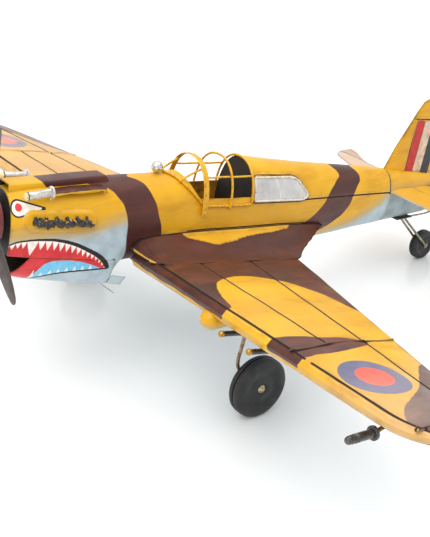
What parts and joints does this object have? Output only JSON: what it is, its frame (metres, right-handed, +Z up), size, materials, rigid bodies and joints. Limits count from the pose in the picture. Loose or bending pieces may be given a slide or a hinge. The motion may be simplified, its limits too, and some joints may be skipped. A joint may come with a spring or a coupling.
{
  "type": "propeller plane model",
  "caption": "Hand-made sheet-metal desk model of a single-engine low-wing fighter aircraft, with an open wire canopy, a turning propeller and rolling wheels.",
  "frame": {"origin": "middle of the model's footprint box on the surface it stands on", "axes": "+X to the aircraft's port side, +Y aft (the nose points to -Y), +Z up; the model stands nose-up on its three wheels"},
  "size_m": [0.572, 0.478, 0.1926],
  "materials": {
    "camouflage_paint": "hand-brushed satin enamel in yellow and brown, worn at the edges",
    "belly_paint": "sprayed satin enamel in pale blue-grey",
    "yellow_wire": "satin enamel on wire",
    "interior_yellow": "satin enamel, stained",
    "interior_black": "matt black",
    "steel_wire": "bare drawn wire",
    "dark_plate": "dark enamel, worn",
    "bright_metal": "bright, slightly scuffed",
    "axle_metal": "peened end, slightly brassy",
    "black_enamel": "semi-gloss black",
    "brass_tip": "dull brass",
    "window_silver": "dull silver with fine scratches",
    "window_white": "off-white enamel on wire",
    "tyre_rubber": "solid rubber, satin",
    "spinner_maroon": "satin enamel",
    "propeller_black": "glossy dark enamel"
  },
  "bodies": {
    "airframe": {"fuselage_skin": "camouflage_paint", "chin_cowl": "belly_paint", "turtle_deck": "camouflage_paint", "nose_plate": "interior_black", "shaft_bush": "brass_tip", "rear_bulkhead": "interior_black", "cockpit_floor": "interior_yellow", "tail_cone": "camouflage_paint", "gun_fairings": "camouflage_paint", "nose_gun_port": "bright_metal", "nose_gun_starboard": "bright_metal", "intake_scoop": "camouflage_paint", "exhaust_panel_port": "camouflage_paint", "exhaust_panel_starboard": "camouflage_paint", "exhaust_stack_port": "black_enamel", "exhaust_stack_starboard": "black_enamel", "cowl_flaps": "belly_paint", "gunsight_bead": "bright_metal", "canopy_base_rail": "yellow_wire", "windscreen_bow": "yellow_wire", "canopy_mid_arch": "yellow_wire", "canopy_rear_arch": "yellow_wire", "windscreen_posts": "yellow_wire", "canopy_side_rails": "yellow_wire", "rear_window_port": "window_silver", "rear_window_starboard": "window_silver", "window_frame_port": "window_white", "window_frame_starboard": "window_white", "wing_upper_skin_port": "camouflage_paint", "wing_upper_skin_starboard": "camouflage_paint", "leading_edge_port": "camouflage_paint", "leading_edge_starboard": "camouflage_paint", "wing_lower_skin": "belly_paint", "wing_spar": "steel_wire", "root_fillet_port": "camouflage_paint", "root_fillet_starboard": "camouflage_paint", "gear_fairing_port": "camouflage_paint", "gear_fairing_starboard": "camouflage_paint", "wing_guns_port": "black_enamel", "wing_guns_starboard": "black_enamel", "gun_tips": "brass_tip", "gear_leg_port": "steel_wire", "gear_leg_starboard": "steel_wire", "leg_bindings": "steel_wire", "axle_caps": "axle_metal", "pitot_rod": "steel_wire", "pitot_head": "black_enamel", "stabiliser_port": "camouflage_paint", "stabiliser_starboard": "camouflage_paint", "fin": "camouflage_paint", "tail_base_plate": "dark_plate", "tail_fork": "steel_wire", "tail_stay": "steel_wire"},
    "propeller_unit": {"spinner": "spinner_maroon", "propeller": "propeller_black", "propeller_shaft": "steel_wire", "shaft_nut": "steel_wire"},
    "wheel_port": {"main_wheel_port": "tyre_rubber"},
    "wheel_starboard": {"main_wheel_starboard": "tyre_rubber"},
    "wheel_tail": {"tail_wheel": "tyre_rubber"}
  },
  "joints": [
    {"name": "propeller_spin", "type": "hinge", "parent": "airframe", "child": "propeller_unit", "pos_m": [0, -0.20986, 0.1354], "axis": [0, 0.9824, -0.187], "continuous": true},
    {"name": "wheel_port_roll", "type": "hinge", "parent": "airframe", "child": "wheel_port", "pos_m": [0.1006, -0.07691, 0.021], "axis": [1, 0, 0], "continuous": true},
    {"name": "wheel_starboard_roll", "type": "hinge", "parent": "airframe", "child": "wheel_starboard", "pos_m": [-0.136, -0.07691, 0.021], "axis": [1, 0, 0], "continuous": true},
    {"name": "wheel_tail_roll", "type": "hinge", "parent": "airframe", "child": "wheel_tail", "pos_m": [0, 0.19053, 0.0131], "axis": [1, 0, 0], "continuous": true}
  ]
}
